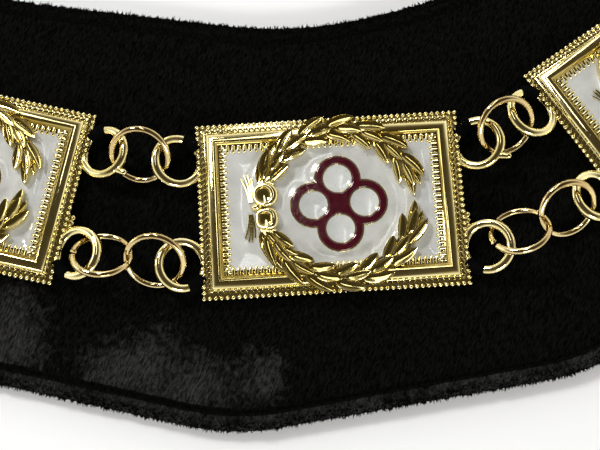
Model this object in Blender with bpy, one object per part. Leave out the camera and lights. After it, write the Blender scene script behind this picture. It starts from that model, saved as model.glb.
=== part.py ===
"""Chain of office: a padded velvet collar carrying cast gilt plaques joined by rings.

The collar lies flat. Its front is at -Y, the back of the neck at +Y, and the
underside of the velvet is at Z = 0. Eleven plaques follow one another round it,
one at the front and five up each arm, and the left arm mirrors the right one.
"""
import math

import bmesh
import bpy
from mathutils import Matrix, Vector

# Plaques and the way they follow the collar
PLAQUE_LENGTH = 0.0660
PLAQUE_WIDTH = 0.0445
PLAQUE_HEIGHT = 0.0043
PLAQUE_GAP = 0.0310
PLAQUE_PITCH = PLAQUE_LENGTH + PLAQUE_GAP
PLAQUE_STANDOFF = 0.0004
BORDER_WIDTH = 0.0080
# Bends between the plaques up one arm, from the front plaque on: the turn in
# degrees, and how far towards the neck the next plaque is set off, as a share of
# the plaque's width. The turn after these follows from closing the loop.
ARM_BENDS = (
    # turn, set_off
    (37.6, 0.000),
    (37.8, 0.000),
    (16.1, -0.021),
    (31.6, 0.067),
)

# Velvet collar
COLLAR_THICKNESS = 0.0050
COLLAR_OUTER_REACH = 0.0510
COLLAR_INNER_REACH = 0.0490
OUTER_CORNER_RADIUS = 0.060
INNER_CORNER_RADIUS = 0.120
CORNER_STEPS = 4
EDGE_STEPS = 3
# Most of a side of the outline that the arc at one end of it may take
CORNER_ROOM = 0.45
# Where the velvet's two edges bend at each gap between plaques, front to back.
# Shifts are shares of the pitch, reaches are shares of the mitred half width.
COLLAR_BENDS = (
    # outer_shift, outer_reach, inner_shift, inner_reach
    (0.000, 1.000, 0.000, 1.000),
    (-0.011, 0.959, 0.086, 0.995),
    (0.292, 1.008, 0.383, 1.034),
    (-0.011, 0.870, 0.070, 1.090),
    (-0.024, 1.035, -0.024, 0.963),
    (0.000, 1.000, 0.000, 1.000),
)

# Moulded border of a plaque, from its outer foot over the crest to the recess
BORDER_PROFILE = (
    # share of border width, share of plaque height
    (0.00, 0.00),
    (0.00, 0.72),
    (0.35, 0.70),
    (0.42, 0.91),
    (0.50, 1.00),
    (0.58, 0.91),
    (0.70, 0.76),
    (1.00, 0.76),
    (1.00, 0.25),
)

# White field and the emblem lying on it
FIELD_GAP = 0.0003
FIELD_THICKNESS = 0.0012
EMBLEM_CENTRE = 0.0019
EMBLEM_REACH = 0.0119
EMBLEM_BAR = 0.0019
EMBLEM_THICKNESS = 0.0006
LOBE_RADIUS = 0.0056
LOBE_STEPS = 4
EYE_STEPS = 5

# Laurel wreath and its bow
WREATH_CENTRE = 0.0019
WREATH_RADIUS = 0.0182
WREATH_RIDGE = 0.0020
WHORLS = 5
BRANCH_START = 168.0
BRANCH_END = 3.0
LEAF_REACH = 0.0037
NOTCH_SHARE = 0.50
TIP_SHARE = 0.82
BRANCH_TIP_SHARE = 0.20
# Height of the ridge where the branch is narrowest, were its width nothing
RIDGE_LOW_SHARE = 0.75
BOW_HEIGHT = 0.0022
BOW_SECTIONS = (
    # across, along, half width as shares of the wreath radius, share of bow height
    (-0.340, -0.900, 0.030, 0.68),
    (-0.200, -0.880, 0.135, 0.95),
    (-0.030, -0.980, 0.075, 0.80),
    (0.130, -0.880, 0.150, 0.99),
    (0.300, -0.910, 0.030, 0.68),
)

# Cast loops at the ends of a plaque, and the loose rings between them
LOOP_OVERHANG = 0.0042
LOOP_INSET = 0.00925
LOOP_ALONG = PLAQUE_LENGTH / 2 + LOOP_OVERHANG
LOOP_ACROSS = PLAQUE_WIDTH / 2 - LOOP_INSET
LOOP_RADIUS = 0.00575
LOOP_WIRE = 0.00115
LOOP_PITCH = 22.0
LOOP_CLEARANCE = 0.0001
RING_RADIUS = 0.0070
RING_WIRE = 0.00072
RING_TILT = 40.0
RING_HEIGHT = 0.0052
PAIR_SPACING = 0.0129
RING_SIDES = 10
WIRE_SIDES = 5
WELD_DISTANCE = 0.00008
# Angles in degrees: creases sharper than the first show, below the second is flat
SHARP_ANGLE = 40.0
FLAT_ANGLE = 1.0
UP = Vector((0.0, 0.0, 1.0))


def clear_scene():
    for thing in list(bpy.data.objects):
        bpy.data.objects.remove(thing, do_unlink=True)


def material(name, colour, metallic, roughness):
    made = bpy.data.materials.new(name)
    made.use_nodes = True
    shader = made.node_tree.nodes["Principled BSDF"]
    shader.inputs["Base Color"].default_value = (*colour, 1.0)
    shader.inputs["Metallic"].default_value = metallic
    shader.inputs["Roughness"].default_value = roughness
    return made


def finished_mesh(shape, name, look):
    bmesh.ops.recalc_face_normals(shape, faces=shape.faces)
    mesh = bpy.data.meshes.new(name)
    shape.to_mesh(mesh)
    shape.free()
    mesh.materials.append(look)
    mesh.shade_smooth()
    mesh.set_sharp_from_angle(angle=math.radians(SHARP_ANGLE))
    return mesh


def placed(name, mesh, matrix, holder):
    thing = bpy.data.objects.new(name, mesh)
    bpy.context.scene.collection.objects.link(thing)
    thing.parent = holder
    thing.matrix_world = matrix
    return thing


def heading(angle):
    return Vector((math.cos(angle), math.sin(angle), 0.0))


def inward(direction):
    return Vector((-direction.y, direction.x, 0.0))


def arm_route():
    """Headings of the right arm's plaques, and where each one's stretch ends and starts."""
    headings = [0.0]
    set_offs = []
    # The arm starts half a pitch to the side of the middle and has to end on it.
    left_over = -0.5
    for turn, set_off in ARM_BENDS:
        set_offs.append(set_off * PLAQUE_WIDTH)
        left_over += set_offs[-1] / PLAQUE_PITCH * math.sin(headings[-1])
        headings.append(headings[-1] + math.radians(turn))
        left_over -= math.cos(headings[-1])
    headings.append(math.acos(max(-1.0, min(1.0, left_over))))
    set_offs.append(0.0)
    ends = [Vector((PLAQUE_PITCH / 2, 0.0, 0.0))]
    starts = []
    for before, angle, set_off in zip(headings, headings[1:], set_offs):
        starts.append(ends[-1] + set_off * inward(heading(before)))
        ends.append(starts[-1] + PLAQUE_PITCH * heading(angle))
    return headings, ends, starts


def bend_directions(headings):
    """Heading along the collar and half the turn at every joint of the arm."""
    bends = []
    for before, after in zip(headings, headings[1:] + [2 * math.pi - headings[-1]]):
        bends.append(((before + after) / 2, (after - before) / 2))
    return bends


def edge_corners(headings, joints, outer):
    """Sharp corners of one edge of the velvet, right round the loop."""
    arm = []
    for (angle, half_turn), joint, row in zip(bend_directions(headings), joints, COLLAR_BENDS):
        along = heading(angle)
        if outer:
            reach = -COLLAR_OUTER_REACH * row[1] / math.cos(half_turn)
            shift = row[0]
        else:
            reach = COLLAR_INNER_REACH * row[3] / math.cos(half_turn)
            shift = row[2]
        arm.append(joint + shift * PLAQUE_PITCH * along + reach * inward(along))
    mirrored_arm = [Vector((-corner.x, corner.y, 0.0)) for corner in reversed(arm[:-1])]
    arm[-1].x = 0.0
    return arm + mirrored_arm


def rounded(corners, radius):
    """Each corner drawn as an arc of CORNER_STEPS chords, as one closed line."""
    line = []
    count = len(corners)
    for index, corner in enumerate(corners):
        back = corners[index - 1] - corner
        ahead = corners[(index + 1) % count] - corner
        half_turn = (math.pi - back.angle(ahead)) / 2
        room = CORNER_ROOM * min(back.length, ahead.length)
        tangent = min(radius * math.tan(half_turn), room)
        start = corner + tangent * back.normalized()
        end = corner + tangent * ahead.normalized()
        centre_way = (back.normalized() + ahead.normalized()).normalized()
        centre = corner + centre_way * tangent / math.sin(half_turn)
        first = start - centre
        for step in range(CORNER_STEPS + 1):
            share = step / CORNER_STEPS
            line.append(centre + first.length * first.slerp(end - centre, share))
    return line


def velvet_collar(look, headings, joints):
    """Padded band between the two edges, with half-round rims and flat faces."""
    outer_line = rounded(edge_corners(headings, joints, True), OUTER_CORNER_RADIUS)
    inner_line = rounded(edge_corners(headings, joints, False), INNER_CORNER_RADIUS)
    half = COLLAR_THICKNESS / 2
    rim = []
    for step in range(EDGE_STEPS + 1):
        angle = math.pi * (step / EDGE_STEPS - 0.5)
        rim.append((half * (1 - math.cos(angle)), half * (1 + math.sin(angle))))
    shape = bmesh.new()
    sections = []
    for outer_point, inner_point in zip(outer_line, inner_line):
        way = (inner_point - outer_point).normalized()
        section = []
        for inset, height in rim:
            section.append(shape.verts.new(outer_point + inset * way + Vector((0, 0, height))))
        for inset, height in reversed(rim):
            section.append(shape.verts.new(inner_point - inset * way + Vector((0, 0, height))))
        sections.append(section)
    bridge_sections(shape, sections, closed=True)
    return finished_mesh(shape, "velvet_collar", look)


def bridge_sections(shape, sections, closed):
    count = len(sections)
    for index in range(count if closed else count - 1):
        here = sections[index]
        there = sections[(index + 1) % count]
        size = len(here)
        for corner in range(size):
            after = (corner + 1) % size
            shape.faces.new((here[corner], here[after], there[after], there[corner]))
    if not closed:
        shape.faces.new(sections[0])
        shape.faces.new(sections[-1])


def plaque_border():
    """Rectangular tray whose border follows BORDER_PROFILE, mitred at the corners."""
    shape = bmesh.new()
    sections = []
    for inset_share, height_share in BORDER_PROFILE:
        inset = inset_share * BORDER_WIDTH
        half_length = PLAQUE_LENGTH / 2 - inset
        half_width = PLAQUE_WIDTH / 2 - inset
        height = height_share * PLAQUE_HEIGHT
        corners = ((-1, -1), (1, -1), (1, 1), (-1, 1))
        sections.append([
            shape.verts.new((side * half_length, edge * half_width, height))
            for side, edge in corners
        ])
    bridge_sections(shape, sections, closed=False)
    return shape


def field_top():
    return BORDER_PROFILE[-1][1] * PLAQUE_HEIGHT + FIELD_GAP + FIELD_THICKNESS


def laurel_branch(side):
    """One branch as a ridged strip, toothed where the leaf tips stand out."""
    stations = []
    whorl = (BRANCH_START - BRANCH_END) / WHORLS
    for index in range(WHORLS):
        for share, spread in ((0.0, NOTCH_SHARE), (TIP_SHARE, 1.0)):
            stations.append((BRANCH_START - (index + share) * whorl, spread))
    stations.append((BRANCH_END, BRANCH_TIP_SHARE))
    shape = bmesh.new()
    sections = []
    for degrees, spread in stations:
        angle = math.radians(degrees)
        centre = wreath_point(math.cos(angle), side * math.sin(angle))
        way = Vector((math.cos(angle), side * math.sin(angle), 0.0))
        ridge = WREATH_RIDGE * (RIDGE_LOW_SHARE + (1.0 - RIDGE_LOW_SHARE) * spread)
        sections.append(ridged_section(shape, centre, way, spread * LEAF_REACH, ridge))
    bridge_sections(shape, sections, closed=False)
    return shape


def ridged_section(shape, centre, way, half_width, ridge_height):
    points = (centre - way * half_width, centre + way * half_width, centre + UP * ridge_height)
    return [shape.verts.new(point) for point in points]


def ribbon_bow():
    """Ribbon bow as one ridged strip, wide at its two loops and narrow at the knot."""
    shape = bmesh.new()
    sections = []
    along_plaque = Vector((1.0, 0.0, 0.0))
    for across, along, half_width, height_share in BOW_SECTIONS:
        centre = wreath_point(along, across)
        sections.append(ridged_section(
            shape, centre, along_plaque, half_width * WREATH_RADIUS, height_share * BOW_HEIGHT))
    bridge_sections(shape, sections, closed=False)
    return shape


def wreath_point(along, across):
    """Point just above the white field, given in shares of the wreath radius."""
    base = field_top() + FIELD_GAP
    return Vector((WREATH_CENTRE + along * WREATH_RADIUS, across * WREATH_RADIUS, base))


def wire_ring(radius, wire):
    """Round wire bent into a ring in the XY plane, with a corner at each end of X."""
    shape = bmesh.new()
    sections = []
    for turn in range(RING_SIDES):
        angle = 2 * math.pi * turn / RING_SIDES
        way = heading(angle)
        section = []
        for step in range(WIRE_SIDES):
            round_angle = 2 * math.pi * step / WIRE_SIDES
            reach = radius + wire * math.cos(round_angle)
            height = wire * math.sin(round_angle)
            section.append(shape.verts.new(way * reach + Vector((0.0, 0.0, height))))
        sections.append(section)
    bridge_sections(shape, sections, closed=True)
    return shape


def cast_loop(end, side):
    """Thick ring grown from one end of a plaque and rising away from it."""
    rise = math.radians(LOOP_PITCH)
    height = LOOP_CLEARANCE + LOOP_WIRE + LOOP_RADIUS * math.sin(rise)
    out = Vector((end * math.cos(rise), 0.0, math.sin(rise)))
    across = Vector((0.0, end, 0.0))
    place = Vector((end * LOOP_ALONG, side * LOOP_ACROSS, height))
    shape = wire_ring(LOOP_RADIUS, LOOP_WIRE)
    shape.transform(axes_matrix(out, across, place))
    return shape


def axes_matrix(along, across, place):
    """Placement with X on along and Y on across."""
    up = along.cross(across)
    turned = Matrix((along, across, up)).transposed().to_4x4()
    return Matrix.Translation(place) @ turned


def fused(first, others, name, look):
    """One closed body made of overlapping closed shapes."""
    pieces = bpy.data.collections.new(name + "_pieces")
    bpy.context.scene.collection.children.link(pieces)
    cutters = []
    for index, shape in enumerate(others):
        cutter = bpy.data.objects.new(f"{name}_{index}", finished_mesh(shape, name, look))
        pieces.objects.link(cutter)
        cutters.append(cutter)
    body = bpy.data.objects.new(name, finished_mesh(first, name, look))
    bpy.context.scene.collection.objects.link(body)
    union = body.modifiers.new("union", "BOOLEAN")
    union.operation = "UNION"
    union.operand_type = "COLLECTION"
    union.collection = pieces
    union.solver = "EXACT"
    graph = bpy.context.evaluated_depsgraph_get()
    mesh = bpy.data.meshes.new_from_object(body.evaluated_get(graph))
    for thing in cutters + [body]:
        bpy.data.objects.remove(thing, do_unlink=True)
    bpy.data.collections.remove(pieces)
    return simplified(mesh, name, look)


def simplified(mesh, name, look):
    """The same body with the flat parts of its faces merged and slivers closed up."""
    shape = bmesh.new()
    shape.from_mesh(mesh)
    bmesh.ops.remove_doubles(shape, verts=shape.verts, dist=WELD_DISTANCE)
    bmesh.ops.dissolve_limit(
        shape, angle_limit=math.radians(FLAT_ANGLE), verts=shape.verts, edges=shape.edges)
    bmesh.ops.triangulate(shape, faces=shape.faces)
    return finished_mesh(shape, name, look)


def plaque_mesh(look):
    raised = [laurel_branch(1), laurel_branch(-1), ribbon_bow()]
    loops = [cast_loop(end, side) for end in (-1, 1) for side in (-1, 1)]
    return fused(plaque_border(), raised + loops, "plaque", look)


def field_mesh(look):
    shape = bmesh.new()
    bmesh.ops.create_cube(shape, size=1.0)
    size = (
        PLAQUE_LENGTH - 2 * BORDER_WIDTH - 2 * FIELD_GAP,
        PLAQUE_WIDTH - 2 * BORDER_WIDTH - 2 * FIELD_GAP,
        FIELD_THICKNESS,
    )
    bmesh.ops.scale(shape, vec=size, verts=shape.verts)
    height = field_top() - FIELD_THICKNESS / 2
    bmesh.ops.translate(shape, vec=(0.0, 0.0, height), verts=shape.verts)
    return finished_mesh(shape, "white_field", look)


def lobed_outline():
    """Outline of four equal lobes, each an arc about a point on one half axis."""
    offset = EMBLEM_REACH - LOBE_RADIUS
    cusp = (offset + math.sqrt(2 * LOBE_RADIUS ** 2 - offset ** 2)) / 2
    half_arc = math.atan2(cusp, cusp - offset)
    points = []
    for lobe in range(4):
        middle = lobe * math.pi / 2
        centre = offset * heading(middle)
        for step in range(LOBE_STEPS):
            angle = middle - half_arc + 2 * half_arc * step / LOBE_STEPS
            points.append(centre + LOBE_RADIUS * heading(angle))
    return points


def eye_outline(lobe):
    offset = EMBLEM_REACH - LOBE_RADIUS
    middle = lobe * math.pi / 2
    centre = offset * heading(middle)
    radius = LOBE_RADIUS - EMBLEM_BAR
    return [
        centre + radius * heading(middle + 2 * math.pi * step / EYE_STEPS)
        for step in range(EYE_STEPS)
    ]


def emblem_mesh(look):
    """Plain quatrefoil: four lobes, each with a round eye."""
    shape = bmesh.new()
    place = Vector((EMBLEM_CENTRE, 0.0, field_top() + FIELD_GAP))
    for outline in [lobed_outline()] + [eye_outline(lobe) for lobe in range(4)]:
        corners = [shape.verts.new(place + point) for point in outline]
        for here, there in zip(corners, corners[1:] + corners[:1]):
            shape.edges.new((here, there))
    bmesh.ops.triangle_fill(shape, use_beauty=True, use_dissolve=False, edges=shape.edges[:])
    swept = bmesh.ops.extrude_face_region(shape, geom=shape.faces[:], use_keep_orig=True)
    risen = [item for item in swept["geom"] if isinstance(item, bmesh.types.BMVert)]
    bmesh.ops.translate(shape, vec=(0.0, 0.0, EMBLEM_THICKNESS), verts=risen)
    return finished_mesh(shape, "emblem", look)


def tilted_ring(along_offset, lean):
    """Thin ring leaning about the line of the chain, set off along that line."""
    shape = wire_ring(RING_RADIUS, RING_WIRE)
    tilt = math.radians(lean * RING_TILT)
    across = Vector((0.0, math.cos(tilt), math.sin(tilt)))
    place = Vector((along_offset, 0.0, RING_HEIGHT))
    shape.transform(axes_matrix(Vector((1.0, 0.0, 0.0)), across, place))
    return shape


def mirrored(mesh):
    """The same piece for the left arm, mirrored end for end."""
    shape = bmesh.new()
    shape.from_mesh(mesh)
    bmesh.ops.scale(shape, vec=(-1.0, 1.0, 1.0), verts=shape.verts)
    bmesh.ops.reverse_faces(shape, faces=shape.faces)
    return finished_mesh(shape, mesh.name + "_left", mesh.materials[0])


def arm_places(headings, starts):
    """Place and heading of each plaque of the right arm."""
    return [
        (start + PLAQUE_PITCH / 2 * heading(angle), angle)
        for angle, start in zip(headings[1:], starts)
    ]


def loop_rows(headings, ends, starts):
    """Middle and heading of the lines between facing cast loops, neck side first, by gap."""
    rows = []
    gap = PLAQUE_PITCH / 2 - LOOP_ALONG
    # At the back of the neck the two arms meet without being set off.
    for (angle, half_turn), end, start in zip(bend_directions(headings), ends, starts + ends[-1:]):
        before = heading(angle - half_turn)
        after = heading(angle + half_turn)
        for side in (1, -1):
            near = end - gap * before + side * LOOP_ACROSS * inward(before)
            far = start + gap * after + side * LOOP_ACROSS * inward(after)
            run = far - near
            rows.append(((near + far) / 2, math.atan2(run.y, run.x)))
    return list(zip(rows[::2], rows[1::2]))


def standing(place, angle):
    """Placement on top of the velvet, turned to a heading."""
    height = COLLAR_THICKNESS + PLAQUE_STANDOFF
    return Matrix.Translation(place + Vector((0.0, 0.0, height))) @ Matrix.Rotation(angle, 4, "Z")


def build():
    clear_scene()
    velvet = material("black velvet", (0.010, 0.009, 0.010), 0.0, 0.95)
    gilt = material("gilt casting", (0.83, 0.60, 0.20), 1.0, 0.20)
    ring_gilt = material("gilt wire", (0.78, 0.54, 0.20), 1.0, 0.22)
    white = material("white enamel", (0.86, 0.86, 0.88), 0.0, 0.12)
    wine = material("wine red enamel", (0.13, 0.008, 0.020), 0.0, 0.10)

    headings, ends, starts = arm_route()
    outer_line = rounded(edge_corners(headings, ends, True), OUTER_CORNER_RADIUS)
    middle = (min(p.y for p in outer_line) + max(p.y for p in outer_line)) / 2
    centring = Vector((0.0, -middle, 0.0))

    holder = bpy.data.objects.new("chain_of_office", None)
    bpy.context.scene.collection.objects.link(holder)
    placed("velvet_collar", velvet_collar(velvet, headings, ends),
           Matrix.Translation(centring), holder)

    right = {
        "plaque": plaque_mesh(gilt),
        "white_field": field_mesh(white),
        "emblem": emblem_mesh(wine),
    }
    left = {name: mirrored(mesh) for name, mesh in right.items()}
    single = finished_mesh(tilted_ring(0.0, 1), "inner_link", ring_gilt)
    pair_parts = (tilted_ring(-PAIR_SPACING / 2, -1), tilted_ring(PAIR_SPACING / 2, 1))
    pair = fused(pair_parts[0], pair_parts[1:], "outer_links", ring_gilt)
    pair_left = mirrored(pair)

    for name, mesh in right.items():
        placed(f"{name}_front", mesh, standing(centring, 0.0), holder)
    for number, (place, angle) in enumerate(arm_places(headings, starts), start=1):
        other_place = Vector((-place.x, place.y, 0.0))
        for name in right:
            placed(f"{name}_right_{number}", right[name], standing(place + centring, angle), holder)
            placed(f"{name}_left_{number}", left[name],
                   standing(other_place + centring, -angle), holder)
    for number, rows in enumerate(loop_rows(headings, ends, starts), start=1):
        links = (("inner_link", single, single), ("outer_links", pair, pair_left))
        for (name, mesh, left_mesh), (place, angle) in zip(links, rows):
            if number == len(ends):
                placed(f"{name}_back", mesh, standing(place + centring, angle), holder)
                continue
            other_place = Vector((-place.x, place.y, 0.0))
            placed(f"{name}_right_{number}", mesh, standing(place + centring, angle), holder)
            placed(f"{name}_left_{number}", left_mesh,
                   standing(other_place + centring, -angle), holder)


build()
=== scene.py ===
import math
import random

import bmesh
import bpy
from mathutils import Matrix, Vector, noise


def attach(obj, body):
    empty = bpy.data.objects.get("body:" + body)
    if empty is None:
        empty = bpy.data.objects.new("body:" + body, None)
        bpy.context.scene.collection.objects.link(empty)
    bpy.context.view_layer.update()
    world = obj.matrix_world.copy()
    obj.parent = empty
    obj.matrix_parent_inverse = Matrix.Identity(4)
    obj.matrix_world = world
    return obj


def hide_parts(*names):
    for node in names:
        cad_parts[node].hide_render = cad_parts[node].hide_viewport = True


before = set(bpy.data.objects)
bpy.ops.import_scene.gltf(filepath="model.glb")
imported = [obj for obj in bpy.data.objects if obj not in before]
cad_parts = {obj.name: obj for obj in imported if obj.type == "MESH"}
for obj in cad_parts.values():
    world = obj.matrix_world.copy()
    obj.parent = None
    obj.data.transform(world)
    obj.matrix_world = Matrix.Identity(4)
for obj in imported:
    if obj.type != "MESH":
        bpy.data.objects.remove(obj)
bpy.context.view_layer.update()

MM = 0.001
SHARP_ANGLE = 50.0
UP = Vector((0.0, 0.0, 1.0))
CORNERS = ((-1, -1), (1, -1), (1, 1), (-1, 1))

# The chain's route and the plaques on it, as the solids have them
PLAQUE_LENGTH = 0.0660
PLAQUE_WIDTH = 0.0445
PLAQUE_PITCH = 0.0970
PLAQUE_STANDOFF = 0.0004
BORDER_WIDTH = 0.0080
ARM_BENDS = (
    # turn in degrees, how far the next plaque is set off as a share of its width
    (37.6, 0.000),
    (37.8, 0.000),
    (16.1, -0.021),
    (31.6, 0.067),
)
COLLAR_THICKNESS = 0.0050
COLLAR_OUTER_REACH = 0.0510
COLLAR_INNER_REACH = 0.0490
OUTER_CORNER_RADIUS = 0.060
INNER_CORNER_RADIUS = 0.120
CORNER_ROOM = 0.45
COLLAR_BENDS = (
    # outer_shift, outer_reach, inner_shift, inner_reach
    (0.000, 1.000, 0.000, 1.000),
    (-0.011, 0.959, 0.086, 0.995),
    (0.292, 1.008, 0.383, 1.034),
    (-0.011, 0.870, 0.070, 1.090),
    (-0.024, 1.035, -0.024, 0.963),
    (0.000, 1.000, 0.000, 1.000),
)

# Cast loops and thin rings
LOOP_ALONG = 0.0372
LOOP_ACROSS = 0.0130
LOOP_RADIUS = 0.00575
LOOP_WIRE = 0.00125
SPRUE_TURN = -42.0
SPRUE_LEAN = -10.0
SPRUE_REACHES = (0.0000, 0.0014, 0.0030, 0.0036, 0.0038)
SPRUE_RADII = (0.00100, 0.00092, 0.00088, 0.00068, 0.00030)
ROUGH_LUMPS = 7
ROUGH_PLACE = Vector((0.0333, -0.0058, 0.0014))
LOOP_PITCH = 22.0
RING_RADIUS = 0.0070
RING_WIRE = 0.00084
RING_TILT = 40.0
RING_HEIGHT = 0.0052
PAIR_SPACING = 0.0129
# Black thread wound round each cast loop, in degrees round the loop
WRAP_TURN = 122.0
WRAP_SPREAD = (-16.0, -9.5, -3.0, 3.5, 10.0, 16.5, 23.0)
WRAP_STANDOFF = 0.00018
WRAP_THREAD = 0.00038

# Section of a plaque's border, from its outer foot to the edge of the recess
BORDER_SECTION = (
    # inset and height in millimetres
    (0.25, 0.00),
    (0.25, 2.20),
    (0.45, 2.50),
    (1.40, 2.60),
    (2.30, 2.55),
    (2.45, 2.62),
    (2.62, 3.05),
    (2.85, 3.42),
    (3.20, 3.76),
    (3.65, 4.05),
    (4.15, 4.24),
    (4.60, 4.30),
    (4.95, 4.22),
    (5.20, 4.02),
    (5.45, 3.74),
    (5.75, 3.46),
    (6.05, 3.26),
    (6.40, 3.12),
    (6.80, 2.90),
    (7.10, 2.20),
    (7.10, 1.08),
)

# Beading: how many beads on a long and a short side, and their half sizes
OUTER_BEADS = (45, 29)
BEAD_ROWS = (
    # inset, half sizes along, across and up, height, shift in beads, segments, levels
    (0.00066, (0.00056, 0.00066, 0.00072), 0.00245, 0.0, 8, 3),
    (0.00218, (0.00024, 0.00022, 0.00026), 0.00256, 0.5, 6, 2),
)
# Rope line that waves between those two rows, out at each bead
ROPE_INSET = 0.00175
ROPE_WAVE = 0.00020
ROPE_RADIUS = 0.00034
ROPE_HEIGHT = 0.00262
ROPE_STEPS = 4
INNER_TEETH = (38, 22)
TOOTH_START_INSET = 0.00600
TOOTH_END_INSET = 0.00800
TOOTH_RADIUS = 0.00056
TOOTH_HEIGHT = 0.00312
# Share of a tooth's length, share of its radius
TOOTH_PROFILE = ((0.0, 0.9), (0.3, 1.0), (0.6, 1.0), (0.84, 0.94), (0.96, 0.72), (1.0, 0.35))

# Enamel field, which runs under the teeth to the border's inner wall
FIELD_INSET = 0.00712
FIELD_TOP = 0.002575
FIELD_THICKNESS = 0.0012
FIELD_COLUMNS = 66
FIELD_ROWS = 40
MENISCUS_RISE = 0.00075
MENISCUS_REACH = 0.00110
FIELD_WAVE = 0.00006
FIELD_WAVE_SCALE = 380.0

# Emblem: plain quatrefoil with a round eye in each lobe
EMBLEM_CENTRE = 0.0019
EMBLEM_REACH = 0.0119
EMBLEM_BAR = 0.0019
LOBE_RADIUS = 0.0056
EMBLEM_BASE = 0.002875
EMBLEM_TOP = 0.003475
EMBLEM_EDGE = 0.00022
# The gilt slab's drop below the emblem's top and its bevel, and the bars' lift at
# the foot, rise above that top and bevel
SLAB_DROP = 0.00012
SLAB_BEVEL = 0.00008
BARS_LIFT = 0.0001
BARS_RISE = 0.00022
BARS_BEVEL = 0.00036

# Laurel wreath. Places are radius in millimetres and angle in degrees.
WREATH_CENTRE = 0.0019
WREATH_EDGES = (0.0160, 0.0212)
WHORLS = 7
WHORL_START = 158.0
WHORL_STEP = 20.5
LEAF_ROWS = (
    # base radius, base turn, tip radius, tip turn, base height, tip height, half width
    (19.5, 0.5, 21.9, -20.0, 4.60, 5.05, 1.42),
    (17.7, 1.5, 15.5, -20.0, 4.55, 5.00, 1.34),
    (18.6, -6.0, 18.7, -26.0, 4.85, 5.40, 1.26),
)
FIRST_LEAVES = (
    (20.5, 163.0, 21.5, 129.0, 4.35, 4.95, 1.50),
    (19.3, 161.6, 16.4, 131.0, 4.35, 4.90, 1.40),
)
LAST_LEAVES = (
    (19.2, 23.0, 20.4, 9.5, 4.40, 4.80, 1.10),
    (18.2, 25.0, 18.4, 2.0, 4.70, 5.00, 1.25),
)
LEAF_STATIONS = 10
LEAF_HALF = (
    # one half of its section: share of half width, height in millimetres above the leaf's line
    (-1.00, -0.20),
    (-1.00, 0.08),
    (-0.92, 0.22),
    (-0.82, 0.19),
    (-0.74, -0.04),
    (-0.40, -0.27),
    (0.00, -0.36),
)
LEAF_SECTION = LEAF_HALF + tuple((-share, rise) for share, rise in reversed(LEAF_HALF[:-1]))
# Lines of that section that stay sharp: the inner foot of each rim
LEAF_CREASES = (4, 8)
LEAF_SKIRT = 0.0024
# Outline of a leaf: where it is widest, how full it is, its least share of width
LEAF_SKEW = 0.85
LEAF_FULLNESS = 0.68
LEAF_LEAST = 0.04
LEAF_ARCH = 0.00025
BED_RADII = (0.0168, 0.0204)
BED_HEIGHT = 0.0041
BED_TURNS = (165.0, 17.0)

# Ribbon bow. Places along and across the plaque and the tails are in millimetres.
KNOT_SIZE = (0.0016, 0.0010, 0.0015)
KNOT_PLACE = (-0.0184, 0.0001, 0.0034)
BOW_LOOPS = (
    # along, across, radius, squareness of its outline
    (-16.4, 3.0, 2.45, 2.0),
    (-16.3, -3.0, 2.10, 3.0),
)
BOW_TURNS = 32
BOW_RIM_HEIGHT = 0.0041
# Least rim width, and how much more it is on the side of the emblem
BOW_RIM_WIDTH = (0.00045, 0.00075)
BOW_RIM_RISE = 0.00110
BOW_BOWL = (
    # share of the loop's radius, height in millimetres
    (0.05, 2.45),
    (1.00, 2.45),
    (1.00, 4.15),
    (0.72, 3.80),
    (0.38, 3.58),
    (0.05, 3.52),
)
BOW_TAILS = (((-19.7, 1.5), (-20.7, 9.0)), ((-19.9, -1.5), (-20.3, -8.6)))
TAIL_SWAY = 0.30
TAIL_SPREAD = 0.85
TAIL_STRANDS = (-1.5, -0.5, 0.5, 1.5)

# Velvet
VELVET_STEP = 0.0035
VELVET_CORNER_STEPS = 10
VELVET_INSETS = (0.0, 0.15, 0.5, 1.1, 1.9, 2.8, 3.5, 3.9, 4.2, 4.5, 4.8, 5.1, 5.6, 6.5, 8.5, 11.5)
VELVET_MIDDLE_STEPS = 18
STITCH_INSET = 0.0045
STITCH_DEPTH = 0.0007
STITCH_CHANNEL = 0.0007
STITCH_PITCH = 0.0030
STITCH_WIDTH = 0.00055
STITCH_SIZE = (0.00085, 0.00022, 0.00020)
STITCH_SINK = 0.00025
PAD_RISE = 0.0005
PAD_RISE_INSET = 0.0030
PAD_RISE_WIDTH = 0.0012
PILE_COUNT = 30000
PILE_LENGTH = (0.0004, 0.0010)
PILE_CLUMP = 0.0009
PILE_WIDTH = 0.00020
PILE_LIFT = (-60.0, 85.0)
# Way the nap lies, in degrees
NAP_TURN = 66.0
# Band along the outer edge where the pile is pressed flat and painted sheen lightens its colour,
# how far from the plaque in view it begins, and the pressed spots of painted sheen nearer than that
PAINTED_SHEEN_BAND = (0.006, 0.024)
PAINTED_SHEEN_START = 0.115
PAINTED_SHEEN_SPOTS = (
    # along and across the plaque in view, half length and half width, in millimetres
    (-80.0, -28.0, 9.0, 11.0),
    (-48.0, -36.0, 13.0, 9.0),
    (-36.0, -41.0, 12.0, 7.0),
    (-19.0, -41.0, 6.0, 6.5),
)


def smoothed(mesh, sharp_angle=SHARP_ANGLE):
    mesh.shade_smooth()
    mesh.set_sharp_from_angle(angle=math.radians(sharp_angle))
    return mesh


def linked(name, data):
    """New object in the scene that holds the data."""
    made = bpy.data.objects.new(name, data)
    bpy.context.scene.collection.objects.link(made)
    return made


def set_stops(band, stops):
    for index in (0, -1):
        band.elements[index].position = stops[index][0]
        band.elements[index].color = (*stops[index][1], 1.0)
    for position, colour in stops[1:-1]:
        band.elements.new(position).color = (*colour, 1.0)


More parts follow.
